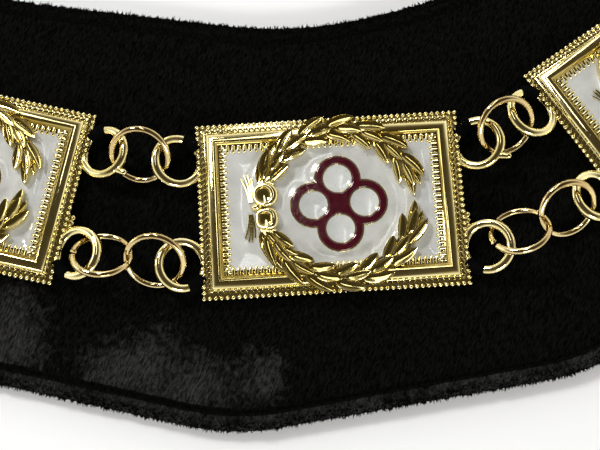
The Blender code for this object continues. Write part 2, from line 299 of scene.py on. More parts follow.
class Shape:
    """Vertices and faces of one piece, gathered before its mesh is made."""

    def __init__(self):
        self.points = []
        self.faces = []
        self.creases = set()

    def stamp(self, template, matrix):
        first = len(self.points)
        self.points.extend(matrix @ point for point in template.points)
        self.faces.extend([index + first for index in face] for face in template.faces)

    def sweep(self, sections, closed=False, creases=()):
        """Skin over closed sections that all have as many points, creased along some of them."""
        first = len(self.points)
        size = len(sections[0])
        count = len(sections)
        for section in sections:
            self.points.extend(section)
        for index in range(count if closed else count - 1):
            here = first + index * size
            there = first + (index + 1) % count * size
            for corner in range(size):
                after = (corner + 1) % size
                self.faces.append([here + corner, here + after, there + after, there + corner])
            self.creases.update((here + corner, there + corner) for corner in creases)
        if not closed:
            self.faces.append([first + corner for corner in reversed(range(size))])
            last = first + (count - 1) * size
            self.faces.append([last + corner for corner in range(size)])

    def mesh(self, name, sharp_angle=SHARP_ANGLE):
        made = bpy.data.meshes.new(name)
        made.from_pydata([tuple(point) for point in self.points], [], self.faces)
        tidy = bmesh.new()
        tidy.from_mesh(made)
        bmesh.ops.recalc_face_normals(tidy, faces=tidy.faces)
        tidy.to_mesh(made)
        tidy.free()
        smoothed(made, sharp_angle)
        for edge in made.edges if self.creases else ():
            here, there = edge.vertices
            if (here, there) in self.creases or (there, here) in self.creases:
                edge.use_edge_sharp = True
        return made


def mirrored(mesh):
    """The same mesh for the left arm, mirrored end for end."""
    shape = bmesh.new()
    shape.from_mesh(mesh)
    bmesh.ops.scale(shape, vec=(-1.0, 1.0, 1.0), verts=shape.verts)
    bmesh.ops.reverse_faces(shape, faces=shape.faces)
    made = mesh.copy()
    made.name = mesh.name + "_left"
    shape.to_mesh(made)
    shape.free()
    return made


def piece(name, mesh, matrix, replaced):
    """One object of the part, standing for the solids it replaces."""
    made = linked(name, mesh)
    made.matrix_world = matrix
    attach(made, "root")
    if replaced:
        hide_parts(*replaced)
    return made


def dress(kind, name, mesh, matrix):
    """Piece that stands for the solid of its kind at one place on the chain."""
    piece(f"{kind}_dress_{name}", mesh, matrix, [f"{kind}_{name}"])


# Route of the chain, as in the solids


def heading(angle):
    return Vector((math.cos(angle), math.sin(angle), 0.0))


def circle(count):
    """That many angles, evenly round."""
    return [2 * math.pi * step / count for step in range(count)]


def other_arm(place):
    """The matching place on the collar's other arm."""
    return Vector((-place.x, place.y, 0.0))


def inward(direction):
    return Vector((-direction.y, direction.x, 0.0))


def arm_route():
    headings = [0.0]
    set_offs = []
    left_over = -0.5
    for turn, set_off in ARM_BENDS:
        set_offs.append(set_off * PLAQUE_WIDTH)
        left_over += set_offs[-1] / PLAQUE_PITCH * math.sin(headings[-1])
        headings.append(headings[-1] + math.radians(turn))
        left_over -= math.cos(headings[-1])
    headings.append(math.acos(max(-1.0, min(1.0, left_over))))
    set_offs.append(0.0)
    ends = [Vector((PLAQUE_PITCH / 2, 0.0, 0.0))]
    starts = []
    for before, angle, set_off in zip(headings, headings[1:], set_offs):
        starts.append(ends[-1] + set_off * inward(heading(before)))
        ends.append(starts[-1] + PLAQUE_PITCH * heading(angle))
    return headings, ends, starts


def loop_rows(headings, ends, starts):
    """Middle and heading of the lines between facing cast loops, neck side first, by gap."""
    rows = []
    gap = PLAQUE_PITCH / 2 - LOOP_ALONG
    for (angle, half_turn), end, start in zip(bend_directions(headings), ends, starts + ends[-1:]):
        before = heading(angle - half_turn)
        after = heading(angle + half_turn)
        for side in (1, -1):
            near = end - gap * before + side * LOOP_ACROSS * inward(before)
            far = start + gap * after + side * LOOP_ACROSS * inward(after)
            run = far - near
            rows.append(((near + far) / 2, math.atan2(run.y, run.x)))
    return list(zip(rows[::2], rows[1::2]))


def bend_directions(headings):
    bends = []
    for before, after in zip(headings, headings[1:] + [2 * math.pi - headings[-1]]):
        bends.append(((before + after) / 2, (after - before) / 2))
    return bends


def edge_corners(headings, joints, outer):
    arm = []
    for (angle, half_turn), joint, row in zip(bend_directions(headings), joints, COLLAR_BENDS):
        along = heading(angle)
        if outer:
            reach = -COLLAR_OUTER_REACH * row[1] / math.cos(half_turn)
            shift = row[0]
        else:
            reach = COLLAR_INNER_REACH * row[3] / math.cos(half_turn)
            shift = row[2]
        arm.append(joint + shift * PLAQUE_PITCH * along + reach * inward(along))
    mirrored_arm = [other_arm(corner) for corner in reversed(arm[:-1])]
    arm[-1].x = 0.0
    return arm + mirrored_arm


def rounded(corners, radius, steps):
    line = []
    count = len(corners)
    for index, corner in enumerate(corners):
        back = corners[index - 1] - corner
        ahead = corners[(index + 1) % count] - corner
        half_turn = (math.pi - back.angle(ahead)) / 2
        room = CORNER_ROOM * min(back.length, ahead.length)
        tangent = min(radius * math.tan(half_turn), room)
        start = corner + tangent * back.normalized()
        end = corner + tangent * ahead.normalized()
        centre_way = (back.normalized() + ahead.normalized()).normalized()
        centre = corner + centre_way * tangent / math.sin(half_turn)
        first = start - centre
        for step in range(steps + 1):
            line.append(centre + first.length * first.slerp(end - centre, step / steps))
    return line


def standing(place, angle):
    height = Vector((0.0, 0.0, COLLAR_THICKNESS + PLAQUE_STANDOFF))
    return Matrix.Translation(place + height) @ Matrix.Rotation(angle, 4, "Z")


def axes_matrix(along, across, place):
    turned = Matrix((along, across, along.cross(across))).transposed().to_4x4()
    return Matrix.Translation(place) @ turned


# Gilt plaque


def dome(size, segments, levels):
    """Template of a rounded bead with a flat foot a little below its widest line."""
    shape = Shape()
    sections = []
    for level in range(levels):
        lift = math.radians(-25.0 + 115.0 * level / levels)
        section = []
        for around in circle(segments):
            way = heading(around)
            section.append(Vector((
                size[0] * way.x * math.cos(lift),
                size[1] * way.y * math.cos(lift),
                size[2] * math.sin(lift))))
        sections.append(section)
    shape.sweep(sections)
    shape.faces.pop()
    top = len(shape.points)
    shape.points.append(Vector((0.0, 0.0, size[2])))
    last = top - segments
    for step in range(segments):
        shape.faces.append([last + step, last + (step + 1) % segments, top])
    return shape


def side_frames(inset):
    """The four sides of a rectangle set in from the plaque's edge: start, way, inward
    way, length, and 1 for a short side."""
    half_length = PLAQUE_LENGTH / 2 - inset
    half_width = PLAQUE_WIDTH / 2 - inset
    corners = [Vector((side * half_length, edge * half_width, 0.0)) for side, edge in CORNERS]
    frames = []
    for index, start in enumerate(corners):
        run = corners[(index + 1) % 4] - start
        way = run.normalized()
        frames.append((start, way, inward(way), run.length, index % 2))
    return frames


def bead_row(shape, template, inset, height, counts, offset):
    for start, way, into, length, short in side_frames(inset):
        count = counts[short]
        for index in range(count):
            place = start + way * length * (index + offset) / count
            place.z = height
            shape.stamp(template, axes_matrix(way, into, place))


def tooth():
    """Template of a round tooth along +Y, rounded at its far end."""
    length = TOOTH_END_INSET - TOOTH_START_INSET
    shape = Shape()
    sections = []
    for share, swell in TOOTH_PROFILE:
        reach = TOOTH_RADIUS * swell
        sections.append([
            Vector((reach * math.cos(around), share * length, reach * math.sin(around)))
            for around in circle(8)
        ])
    shape.sweep(sections)
    return shape


def rope(shape):
    """Thin raised line right round the border, waving out at every bead."""
    sections = []
    for start, way, into, length, short in side_frames(ROPE_INSET):
        steps = OUTER_BEADS[short] * ROPE_STEPS
        for step in range(1, steps):
            wave = ROPE_WAVE * math.cos(2 * math.pi * step / ROPE_STEPS)
            middle = start + way * length * step / steps - into * wave + UP * ROPE_HEIGHT
            sections.append([
                middle + ROPE_RADIUS * (into * math.cos(around) + UP * math.sin(around))
                for around in circle(5)
            ])
    shape.sweep(sections, closed=True)


def border(shape):
    sections = []
    for inset, height in ((row[0] * MM, row[1] * MM) for row in BORDER_SECTION):
        sections.append([
            Vector((side * (PLAQUE_LENGTH / 2 - inset), edge * (PLAQUE_WIDTH / 2 - inset), height))
            for side, edge in CORNERS
        ])
    shape.sweep(sections)


def wreath_place(radius, degrees, side, height):
    angle = math.radians(degrees)
    return Vector((
        WREATH_CENTRE + radius * math.cos(angle), side * radius * math.sin(angle), height))


def leaf(shape, base, tip, side):
    """Pointed leaf from base to tip, each a radius, an angle, a height and a half width."""
    sections = []
    for station in range(LEAF_STATIONS + 1):
        share = station / LEAF_STATIONS
        radius, degrees, height, half_width = (
            start + (end - start) * share for start, end in zip(base, tip))
        skewed = share ** LEAF_SKEW
        spread = max(LEAF_LEAST, (4 * skewed * (1 - skewed)) ** LEAF_FULLNESS)
        arch = LEAF_ARCH * math.sin(math.pi * share)
        middle = wreath_place(radius, degrees, side, height + arch)
        near = wreath_place(*step_along(base, tip, share - 0.02), side, 0.0)
        far = wreath_place(*step_along(base, tip, share + 0.02), side, 0.0)
        across = inward((far - near).normalized())
        section = []
        for width_share, rise in LEAF_SECTION:
            point = middle + across * width_share * half_width * spread
            section.append(point + UP * rise * MM * spread)
        for edge in (1.0, -1.0):
            foot = middle + across * edge * half_width * spread
            foot.z = LEAF_SKIRT
            section.append(foot)
        sections.append(section)
    shape.sweep(sections, creases=LEAF_CREASES)


def step_along(base, tip, share):
    return base[0] + (tip[0] - base[0]) * share, base[1] + (tip[1] - base[1]) * share


def leaf_from(shape, row, side, start=0.0, turn=0.0, swell=1.0):
    """Leaf from a row of the tables, swung round to start."""
    half_width = row[6] * MM * swell
    base = (row[0] * MM, start + row[1], row[4] * MM, half_width)
    tip = (row[2] * MM, start + row[3] + turn, row[5] * MM, half_width)
    leaf(shape, base, tip, side)


def wreath(shape):
    chance = random.Random(5)
    for side in (1, -1):
        bed = []
        for step in range(41):
            degrees = BED_TURNS[0] + (BED_TURNS[1] - BED_TURNS[0]) * step / 40
            ring = []
            for radius, height in (
                    (BED_RADII[0], LEAF_SKIRT), (BED_RADII[0], BED_HEIGHT),
                    (BED_RADII[1], BED_HEIGHT), (BED_RADII[1], LEAF_SKIRT)):
                ring.append(wreath_place(radius, degrees, side, height))
            bed.append(ring)
        shape.sweep(bed)
        for row in FIRST_LEAVES + LAST_LEAVES:
            leaf_from(shape, row, side)
        for whorl in range(WHORLS):
            start = WHORL_START - WHORL_STEP * whorl + chance.uniform(-0.8, 0.8)
            for row in LEAF_ROWS:
                turn = chance.uniform(-1.0, 1.0)
                swell = chance.uniform(0.93, 1.06)
                leaf_from(shape, row, side, start, turn, swell)


def tube(shape, points, radii, sides=8):
    """Round bar through the points."""
    sections = []
    for index, point in enumerate(points):
        before = points[max(index - 1, 0)]
        after = points[min(index + 1, len(points) - 1)]
        way = (after - before).normalized()
        across = inward(Vector((way.x, way.y, 0.0)).normalized())
        rise = way.cross(across)
        sections.append([
            point + radii[index] * (across * math.cos(around) + rise * math.sin(around))
            for around in circle(sides)
        ])
    shape.sweep(sections)


def bow(shape):
    """Ribbon bow: a knot, two dished loops and two short tails of fine strands."""
    shape.stamp(dome(KNOT_SIZE, 14, 5), Matrix.Translation(KNOT_PLACE))
    for along, across, radius, squareness in BOW_LOOPS:
        centre = Vector((along * MM, across * MM, 0.0))
        ways = [heading(around) for around in circle(BOW_TURNS)]
        ring = []
        for way in ways:
            power = (abs(way.x) ** squareness + abs(way.y) ** squareness) ** (-1 / squareness)
            ring.append(centre + way * power * radius * MM)
        lip = []
        for way, point in zip(ways, ring):
            width = BOW_RIM_WIDTH[0] + BOW_RIM_WIDTH[1] * (0.5 + 0.5 * way.x) ** 2
            lip.append([
                point + UP * BOW_RIM_HEIGHT
                + way * width * math.cos(around)
                + UP * BOW_RIM_RISE * math.sin(around)
                for around in circle(10)
            ])
        shape.sweep(lip, closed=True)
        shape.sweep([
            [centre + (point - centre) * share + UP * height * MM for point in ring]
            for share, height in BOW_BOWL
        ])
    for start, end in BOW_TAILS:
        for strand in TAIL_STRANDS:
            points = []
            radii = []
            for station in range(9):
                share = station / 8
                fan = strand * TAIL_SPREAD * (0.3 + 0.7 * share)
                wave = TAIL_SWAY * math.sin(math.pi * share) - fan
                along = start[0] + (end[0] - start[0]) * share + wave
                across = start[1] + (end[1] - start[1]) * share * (1.0 - 0.12 * abs(strand))
                points.append(Vector((along, across, 3.2 - 0.2 * share)) * MM)
                radii.append((0.32 - 0.10 * share) * MM)
            tube(shape, points, radii, 6)


def wire_ring(shape, radius, wire, matrix, turns, sides):
    sections = []
    for way in (heading(turn) for turn in circle(turns)):
        sections.append([
            matrix @ (way * (radius + wire * math.cos(around)) + UP * wire * math.sin(around))
            for around in circle(sides)
        ])
    shape.sweep(sections, closed=True)


def loop_matrix(end, side):
    rise = math.radians(LOOP_PITCH)
    height = LOOP_WIRE + LOOP_RADIUS * math.sin(rise)
    out = Vector((end * math.cos(rise), 0.0, math.sin(rise)))
    across = Vector((0.0, end, 0.0))
    return axes_matrix(out, across, Vector((end * LOOP_ALONG, side * LOOP_ACROSS, height)))


def gilt_plaque():
    shape = Shape()
    border(shape)
    rope(shape)
    for inset, size, height, shift, segments, levels in BEAD_ROWS:
        bead_row(shape, dome(size, segments, levels), inset, height, OUTER_BEADS, shift)
    bead_row(shape, tooth(), TOOTH_START_INSET, TOOTH_HEIGHT, INNER_TEETH, 0.5)
    wreath(shape)
    bow(shape)
    for end in (-1, 1):
        for side in (-1, 1):
            wire_ring(shape, LOOP_RADIUS, LOOP_WIRE, loop_matrix(end, side), 44, 12)
    # Stub of a casting sprue left on one loop, and rough metal beside another
    loop = loop_matrix(1, 1)
    root = heading(math.radians(SPRUE_TURN)) * LOOP_RADIUS
    stub = [loop @ (root + heading(math.radians(SPRUE_LEAN)) * reach) for reach in SPRUE_REACHES]
    tube(shape, stub, SPRUE_RADII)
    chance = random.Random(3)
    for _ in range(ROUGH_LUMPS):
        place = ROUGH_PLACE + Vector((
            chance.uniform(-0.4, 0.5), chance.uniform(-1.8, 1.8), chance.uniform(-0.3, 0.3))) * MM
        size = chance.uniform(0.4, 0.8) * MM
        shape.stamp(dome((size, size * 1.3, size), 7, 3), Matrix.Translation(place))
    return shape.mesh("gilt_plaque")


# Enamel


def emblem_distance(x, y):
    """Distance from a point of the field to the emblem's bars, nothing on them."""
    offset = EMBLEM_REACH - LOBE_RADIUS
    nearest = 1.0
    for lobe in range(4):
        centre = offset * heading(lobe * math.pi / 2)
        reach = math.hypot(x - EMBLEM_CENTRE - centre.x, y - centre.y)
        nearest = min(nearest, max(reach - LOBE_RADIUS, LOBE_RADIUS - EMBLEM_BAR - reach, 0.0))
    return nearest


def field_height(x, y):
    """The enamel's surface, drawn up where it meets the gilt, with gentle waves."""
    half_length = PLAQUE_LENGTH / 2 - BORDER_WIDTH
    half_width = PLAQUE_WIDTH / 2 - BORDER_WIDTH
    edge = min(half_length - abs(x), half_width - abs(y))
    reach = math.hypot(x - WREATH_CENTRE, y)
    leaves = max(0.0, WREATH_EDGES[0] - reach, reach - WREATH_EDGES[1])
    nearest = max(0.0, min(edge, leaves, emblem_distance(x, y)))
    rise = MENISCUS_RISE * math.exp(-nearest / MENISCUS_REACH)
    waves = FIELD_WAVE * noise.noise(Vector((x, y, 0.0)) * FIELD_WAVE_SCALE)
    return FIELD_TOP + rise + waves


def white_field():
    half_length = PLAQUE_LENGTH / 2 - FIELD_INSET
    half_width = PLAQUE_WIDTH / 2 - FIELD_INSET
    shape = bmesh.new()
    bmesh.ops.create_grid(
        shape, x_segments=FIELD_COLUMNS, y_segments=FIELD_ROWS, size=1.0)
    for point in shape.verts:
        point.co.x *= half_length
        point.co.y *= half_width
        point.co.z = field_height(point.co.x, point.co.y)
    # Sides and underside, point by point round the rim so that their order never varies
    wide = FIELD_COLUMNS + 1
    last = FIELD_ROWS * wide
    rim = [
        *range(FIELD_COLUMNS), *range(FIELD_COLUMNS, last + FIELD_COLUMNS, wide),
        *range(last + FIELD_COLUMNS, last, -1), *range(last, 0, -wide)]
    shape.verts.ensure_lookup_table()
    upper = [shape.verts[index] for index in rim]
    foot = FIELD_TOP - FIELD_THICKNESS
    lower = [shape.verts.new((point.co.x, point.co.y, foot)) for point in upper]
    for index in range(len(rim)):
        shape.faces.new((upper[index - 1], upper[index], lower[index], lower[index - 1]))
    shape.faces.new(lower)
    bmesh.ops.recalc_face_normals(shape, faces=shape.faces)
    made = bpy.data.meshes.new("white_field")
    shape.to_mesh(made)
    shape.free()
    return smoothed(made)


def outline_curve(name, extra, base, top, bevel):
    """Filled quatrefoil between two heights, its outline and eyes set out by extra."""
    offset = EMBLEM_REACH - LOBE_RADIUS
    radius = LOBE_RADIUS + extra
    cusp = (offset + math.sqrt(2 * radius ** 2 - offset ** 2)) / 2
    half_arc = math.atan2(cusp, cusp - offset)
    outlines = [[]]
    for lobe in range(4):
        middle = lobe * math.pi / 2
        centre = offset * heading(middle)
        for step in range(16):
            angle = middle - half_arc + 2 * half_arc * step / 16
            outlines[0].append(centre + radius * heading(angle))
        eye = LOBE_RADIUS - EMBLEM_BAR - extra
        outlines.append([centre + eye * heading(around) for around in circle(24)])
    curve = bpy.data.curves.new(name, "CURVE")
    curve.dimensions = "2D"
    curve.fill_mode = "BOTH"
    curve.extrude = (top - base) / 2 - bevel
    curve.bevel_depth = bevel
    curve.bevel_resolution = 2
    curve.offset = -bevel
    for outline in outlines:
        spline = curve.splines.new("POLY")
        spline.points.add(len(outline) - 1)
        for target, point in zip(spline.points, outline):
            target.co = (point.x, point.y, 0.0, 1.0)
        spline.use_cyclic_u = True
    holder = linked(name, curve)
    graph = bpy.context.evaluated_depsgraph_get()
    made = bpy.data.meshes.new_from_object(holder.evaluated_get(graph))
    made.transform(Matrix.Translation((EMBLEM_CENTRE, 0.0, (top + base) / 2)))
    bpy.data.objects.remove(holder, do_unlink=True)
    bpy.data.curves.remove(curve)
    made.name = name
    return smoothed(made)


def emblem(wine, gilt):
    """Wine red bars over a gilt slab whose edge shows as a thin line."""
    shape = bmesh.new()
    slab = outline_curve(
        "emblem_slab", EMBLEM_EDGE, EMBLEM_BASE, EMBLEM_TOP - SLAB_DROP, SLAB_BEVEL)
    bars = outline_curve(
        "emblem_bars", 0.0, EMBLEM_BASE + BARS_LIFT, EMBLEM_TOP + BARS_RISE, BARS_BEVEL)
    shape.from_mesh(slab)
    for face in shape.faces:
        face.material_index = 1
    shape.from_mesh(bars)
    made = bpy.data.meshes.new("emblem")
    shape.to_mesh(made)
    shape.free()
    made.materials.append(wine)
    made.materials.append(gilt)
    return smoothed(made)


# Rings and thread


def ring_matrix(offset, lean):
    tilt = math.radians(lean * RING_TILT)
    across = Vector((0.0, math.cos(tilt), math.sin(tilt)))
    return axes_matrix(Vector((1.0, 0.0, 0.0)), across, Vector((offset, 0.0, RING_HEIGHT)))


def seamed_ring(shape, matrix, seam_turn, seam):
    """Ring of bent wire whose blunt ends nearly meet at seam_turn, seam degrees apart."""
    sections = []
    stations = [(0.0, 0.88), (0.0016, 1.0)]
    stations += [(step / 60, 1.0) for step in range(1, 60)]
    stations += [(0.9984, 1.0), (1.0, 0.88)]
    for share, swell in stations:
        way = heading(math.radians(seam_turn + seam / 2 + (360.0 - seam) * share))
        section = []
        for around in circle(12):
            reach = RING_RADIUS + RING_WIRE * swell * math.cos(around)
            section.append(matrix @ (way * reach + UP * RING_WIRE * swell * math.sin(around)))
        sections.append(section)
    shape.sweep(sections)


def ring_mesh(name, rows):
    shape = Shape()
    for offset, lean, seam_turn, seam in rows:
        seamed_ring(shape, ring_matrix(offset, lean), seam_turn, seam)
    return shape.mesh(name)


def thread_wraps(shape, standing_matrix):
    """Black thread tying each cast loop down beside the plaque."""
    for end in (-1, 1):
        for side in (-1, 1):
            loop = standing_matrix @ loop_matrix(end, side)
            for spread in WRAP_SPREAD:
                around = math.radians(side * end * (WRAP_TURN + spread))
                way = heading(around)
                wrap = loop @ axes_matrix(way, UP, way * LOOP_RADIUS)
                wire_ring(shape, LOOP_WIRE + WRAP_STANDOFF, WRAP_THREAD, wrap, 14, 6)


# Velvet collar


def collar_lines(headings, joints, centring):
    """Paired points along the collar's outer and inner edges."""
    outer = rounded(edge_corners(headings, joints, True), OUTER_CORNER_RADIUS, VELVET_CORNER_STEPS)
    inner = rounded(edge_corners(headings, joints, False), INNER_CORNER_RADIUS, VELVET_CORNER_STEPS)
    pairs = []
    count = len(outer)
    for index in range(count):
        after = (index + 1) % count
        longest = max((outer[after] - outer[index]).length, (inner[after] - inner[index]).length)
        steps = max(1, math.ceil(longest / VELVET_STEP))
        for step in range(steps):
            share = step / steps
            pairs.append((
                outer[index].lerp(outer[after], share) + centring,
                inner[index].lerp(inner[after], share) + centring))
    return pairs


def velvet_top(inset):
    """Height of the padded top at a distance from the nearer edge."""
    half = COLLAR_THICKNESS / 2
    if inset < half:
        return half + half * math.sqrt(max(0.0, 1 - (1 - inset / half) ** 2))
    groove = STITCH_DEPTH * math.exp(-((inset - STITCH_INSET) / STITCH_WIDTH) ** 2)
    swell = PAD_RISE * math.exp(-((inset - PAD_RISE_INSET) / PAD_RISE_WIDTH) ** 2)
    return COLLAR_THICKNESS - groove + swell


def velvet_shape(pairs):
    shape = Shape()
    sections = []
    for outer, inner in pairs:
        width = (inner - outer).length
        way = (inner - outer) / width
        edge = [inset * MM for inset in VELVET_INSETS]
        middle_run = width - 2 * edge[-1]
        insets = list(edge)
        for step in range(1, VELVET_MIDDLE_STEPS):
            insets.append(edge[-1] + middle_run * step / VELVET_MIDDLE_STEPS)
        insets += [width - inset for inset in reversed(edge)]
        section = []
        for inset in insets:
            near = min(inset, width - inset)
            point = outer + way * inset
            dip = 0.5 + 0.5 * noise.noise(point * 70.0)
            lift = 0.35 * noise.noise(point * 260.0)
            depth = min(1.0, near / 0.006) * (0.00055 * dip + 0.0002 * abs(lift))
            section.append(point + UP * (velvet_top(near) - depth))
        for inset, height in (
                (width - 0.7 * MM, 0.9 * MM), (width - 2.4 * MM, 0.0),
                (2.4 * MM, 0.0), (0.7 * MM, 0.9 * MM)):
            section.append(outer + way * inset + UP * height)
        sections.append(section)
    shape.sweep(sections, closed=True)
    return shape


def mark_painted_sheen_shade(mesh, sections, seen):
    """Painted sheen and shade at each point: patches of pressed pile painted lighter, most of them
    along the outer edge.
    """
    unseen = seen.inverted()
    size = len(mesh.vertices) // sections
    values = mesh.attributes.new("painted_sheen_shade", "FLOAT", "POINT").data
    for section in range(sections):
        first = section * size
        edge = mesh.vertices[first].co
        for index in range(first, first + size):
            point = mesh.vertices[index].co
            inset = math.hypot(point.x - edge.x, point.y - edge.y)
            band = min(1.0, max(0.0, (PAINTED_SHEEN_BAND[1] - inset) / PAINTED_SHEEN_BAND[0]))
            patch = noise.noise(Vector((point.x, point.y, 0.0)) * 42.0)
            patch += 0.4 * noise.noise(Vector((point.x, point.y, 0.1)) * 130.0)
            value = 1.5 * patch + 0.75 * band - 0.55
            local = unseen @ point
            # Near the plaque in view the patches are weaker, and painted sheen sits in the listed
            # spots
            if local.length < PAINTED_SHEEN_START:
                value = 0.5 * patch - 0.5
                for along, across, half_length, half_width in PAINTED_SHEEN_SPOTS:
                    reach = math.hypot(
                        (local.x / MM - along) / half_length, (local.y / MM - across) / half_width)
                    value = max(value, 1.35 - reach + 0.5 * patch)
            # Painted sheen lightens the rolled rim outside the stitching; painted shade darkens the
            # stitch channel
            if inset < STITCH_INSET - STITCH_CHANNEL:
                value = 0.60 + 0.4 * noise.noise(Vector((point.x, point.y, 0.2)) * 90.0)
            elif inset < STITCH_INSET + STITCH_CHANNEL:
                value = -0.6
            values[index].value = value


def stitches(pairs):
    """Topstitching in the channels near both edges."""
    shape = Shape()
    template = dome(STITCH_SIZE, 6, 2)
    for line in (0, 1):
        travelled = 0.0
        count = len(pairs)
        for index, pair in enumerate(pairs):
            here, across = pair[line], pair[1 - line]
            ahead = pairs[(index + 1) % count][line]
            run = ahead - here
            while travelled < run.length:
                into = (across - here).normalized()
                place = here + run.normalized() * travelled + into * STITCH_INSET
                place.z = COLLAR_THICKNESS - STITCH_DEPTH - STITCH_SINK
                along = run.normalized()
                shape.stamp(template, axes_matrix(along, inward(along), place))
                travelled += STITCH_PITCH
            travelled -= run.length
    return shape


def pile(pairs):
    """Short fibres standing out along both edges, each a thin closed spike."""
    chance = random.Random(11)
    shape = Shape()
    count = len(pairs)
    lengths = [
        [(pairs[(index + 1) % count][line] - pairs[index][line]).length for index in range(count)]
        for line in (0, 1)
    ]
    total = sum(lengths[0]) + sum(lengths[1])
    half = COLLAR_THICKNESS / 2
    for line in (0, 1):
        for index in range(count):
            here, across = pairs[index][line], pairs[index][1 - line]
            ahead = pairs[(index + 1) % count][line]
            out = (here - across).normalized()
            share = PILE_COUNT * lengths[line][index] / total
            fibres = int(share) + (chance.random() < share % 1)
            for _ in range(fibres):
                lift = math.radians(chance.uniform(*PILE_LIFT))
                way = out * math.cos(lift) + UP * math.sin(lift)
                along = (ahead - here).normalized()
                root = here.lerp(ahead, chance.random())
                root = root - out * half + UP * half + way * half * 0.97
                lean = along * chance.uniform(-0.7, 0.7) + UP * chance.uniform(-0.3, 0.3)
                clump = PILE_CLUMP * max(0.0, noise.noise(root * 900.0))
                tip = root + (way + lean).normalized() * (chance.uniform(*PILE_LENGTH) + clump)
                tip.z = max(tip.z, PILE_WIDTH)
                side = along * PILE_WIDTH
                rise = way.cross(along) * PILE_WIDTH
                first = len(shape.points)
                shape.points.extend([root - side, root + side, root + rise, tip])
                shape.faces.extend([
                    [first, first + 1, first + 2], [first, first + 3, first + 1],
                    [first + 1, first + 3, first + 2], [first + 2, first + 3, first]])
    return shape


# Materials


class Look:
    """A material's nodes, added one by one."""

    def __init__(self, name, colour, metallic, roughness):
        self.material = bpy.data.materials.new(name)
        self.material.use_nodes = True
        self.nodes = self.material.node_tree.nodes
        self.links = self.material.node_tree.links
        self.shader = self.nodes["Principled BSDF"]
        self.set("Base Color", (*colour, 1.0))
        self.set("Metallic", metallic)
        self.set("Roughness", roughness)
        self.coordinates = self.nodes.new("ShaderNodeTexCoord").outputs["Object"]

    def set(self, socket, value):
        self.shader.inputs[socket].default_value = value

    def join(self, source, target):
        self.links.new(source, target)

    def noise(self, scale, detail=3.0, distortion=0.0, strokes=None):
        """Noise, or with strokes its pattern drawn out to that length along the nap."""
        node = self.nodes.new("ShaderNodeTexNoise")
        node.inputs["Scale"].default_value = scale
        node.inputs["Detail"].default_value = detail
        node.inputs["Distortion"].default_value = distortion
        source = self.coordinates
        if strokes is not None:
            turned = self.nodes.new("ShaderNodeMapping")
            turned.vector_type = "TEXTURE"
            turned.inputs["Rotation"].default_value = (0.0, 0.0, math.radians(NAP_TURN))
            turned.inputs["Scale"].default_value = (1.0, strokes, 1.0)
            self.join(source, turned.inputs["Vector"])
            source = turned.outputs["Vector"]
        self.join(source, node.inputs["Vector"])
        return node.outputs["Fac"]

    def total(self, first, second):
        node = self.nodes.new("ShaderNodeMath")
        self.join(first, node.inputs[0])
        self.join(second, node.inputs[1])
        return node.outputs["Value"]

    def ramp(self, source, stops):
        node = self.nodes.new("ShaderNodeValToRGB")
        set_stops(node.color_ramp, stops)
        self.join(source, node.inputs["Fac"])
        return node.outputs["Color"]

    def spread(self, source, low, high):
        """The source's middle range mapped to low to high."""
        node = self.nodes.new("ShaderNodeMapRange")
        node.inputs["From Min"].default_value = 0.3
        node.inputs["From Max"].default_value = 0.7
        node.inputs["To Min"].default_value = low
        node.inputs["To Max"].default_value = high
        self.join(source, node.inputs["Value"])
        return node.outputs["Result"]

    def product(self, first, second):
        node = self.nodes.new("ShaderNodeMix")
        node.data_type = "RGBA"
        node.blend_type = "MULTIPLY"
        node.inputs[0].default_value = 1.0
        # The node's colour sockets are inputs 6 and 7 and output 2
        self.join(first, node.inputs[6])
        self.join(second, node.inputs[7])
        return node.outputs[2]

    def feed_shader(self, colour, roughness, normal):
        sources = {"Base Color": colour, "Roughness": roughness, "Normal": normal}
        for socket, source in sources.items():
            self.join(source, self.shader.inputs[socket])
        return self.material

    def crevice(self):
        return self.nodes.new("ShaderNodeNewGeometry").outputs["Pointiness"]

    def bump(self, source, strength, distance, under=None):
        node = self.nodes.new("ShaderNodeBump")
        node.inputs["Strength"].default_value = strength
        node.inputs["Distance"].default_value = distance
        self.join(source, node.inputs["Height"])
        if under is not None:
            self.join(under, node.inputs["Normal"])
        return node.outputs["Normal"]


def gilt_look(name, dull, bright, wave):
    look = Look(name, bright, 1.0, 0.16)
    worn = look.ramp(look.noise(120.0), ((0.35, dull), (0.65, bright)))
    # Painted shade darkens the hollows and painted highlight lightens the sharp edges, after how
    # pointed the surface is
    depth = look.ramp(
        look.crevice(),
        ((0.42, (0.30, 0.24, 0.12)), (0.49, (0.80, 0.76, 0.66)), (0.54, (1.0, 1.0, 1.15))))
    soft = look.bump(look.noise(180.0, 2.0), wave, 0.0002)
    return look.feed_shader(
        look.product(worn, depth),
        look.spread(look.noise(420.0), 0.05, 0.13),
        look.bump(look.noise(2600.0, 4.0), 0.06, 0.00005, soft))


def white_look():
    look = Look("white enamel", (0.72, 0.72, 0.74), 0.0, 0.12)
    look.set("Coat Weight", 0.5)
    look.set("Coat Roughness", 0.05)
    clouds = look.ramp(look.noise(170.0), ((0.3, (0.48, 0.49, 0.485)), (0.7, (0.63, 0.64, 0.625))))
    specks = look.ramp(
        look.noise(1900.0, 2.0), ((0.70, (1.0, 1.0, 1.0)), (0.78, (0.35, 0.28, 0.22))))
    return look.feed_shader(
        look.product(clouds, specks),
        look.spread(look.noise(300.0), 0.08, 0.22),
        look.bump(look.noise(500.0, 2.0), 0.14, 0.00025))


def wine_look():
    look = Look("wine enamel", (0.070, 0.003, 0.012), 0.0, 0.10)
    look.set("Coat Weight", 0.6)
    look.set("Coat Roughness", 0.04)
    tone = look.ramp(
        look.noise(500.0), ((0.3, (0.040, 0.001, 0.006)), (0.7, (0.062, 0.002, 0.009))))
    return look.feed_shader(
        tone,
        look.spread(look.noise(600.0), 0.06, 0.18),
        look.bump(look.noise(900.0), 0.20, 0.0002))


